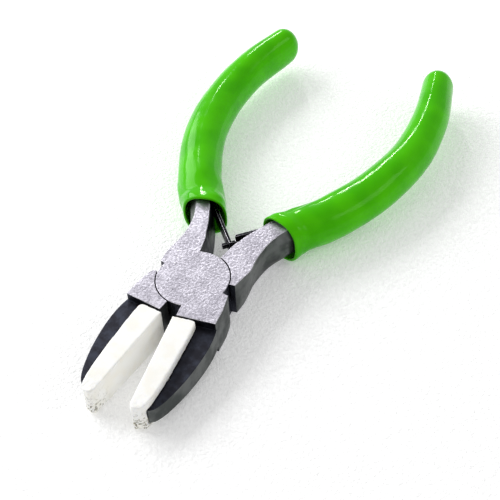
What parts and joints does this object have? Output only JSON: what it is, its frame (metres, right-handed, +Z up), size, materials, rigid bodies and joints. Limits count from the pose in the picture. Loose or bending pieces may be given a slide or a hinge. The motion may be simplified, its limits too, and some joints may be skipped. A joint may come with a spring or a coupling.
{
  "type": "nylon jaw flat nose pliers",
  "caption": "Hand pliers with a lap joint, white nylon pads over flat steel jaws, a leaf return spring and bowed, dipped green grips.",
  "frame": {"origin": "on the pivot axis, at the joint's underside", "axes": "+Y from the pivot towards the handles' ends along the midline, -Y towards the jaws' tips, +Z up along the pivot axis, +X to the handle of the lower half"},
  "size_m": [0.0664, 0.137, 0.0125],
  "materials": {
    "forged_steel": "drop forged, flats ground satin, sides and jaw roots dark",
    "rivet_steel": "ground flush, satin",
    "spring_steel": "black oxide",
    "dipped_vinyl": "glossy, with soft ripples from dipping",
    "white_nylon": "moulded, matte, scuffed at the tips"
  },
  "bodies": {
    "lower": {"lower_half": "forged_steel", "left_nylon_jaw": "white_nylon", "right_grip": "dipped_vinyl", "right_spring_rivet": "rivet_steel", "pivot_rivet": "rivet_steel"},
    "upper": {"upper_half": "forged_steel", "right_nylon_jaw": "white_nylon", "left_grip": "dipped_vinyl", "left_spring_rivet": "rivet_steel"},
    "left_leaf": {"left_leaf_spring": "spring_steel"},
    "right_leaf": {"right_leaf_spring": "spring_steel"}
  },
  "joints": [
    {"name": "pivot", "type": "hinge", "parent": "lower", "child": "upper", "pos_m": [0, 0, 0.0049], "axis": [0, 0, 1], "range_deg": [-13.8, 6], "stiffness_Nm_per_rad": 1.5, "deforming": ["left_leaf_spring", "right_leaf_spring"]},
    {"name": "left_leaf_flex", "type": "hinge", "parent": "upper", "child": "left_leaf", "pos_m": [-0.01289, 0.03055, 0.0049], "axis": [0, 0, 1], "range_deg": [-8.2, 3.6], "deforming": ["left_leaf_spring"]},
    {"name": "right_leaf_flex", "type": "hinge", "parent": "lower", "child": "right_leaf", "pos_m": [0.01289, 0.03055, 0.0049], "axis": [0, 0, 1], "range_deg": [-3.6, 8.2], "deforming": ["right_leaf_spring"]}
  ],
  "couplings": [
    {"joint": "left_leaf_flex", "follows": "pivot", "ratio": 0.58},
    {"joint": "right_leaf_flex", "follows": "pivot", "ratio": -0.58}
  ]
}
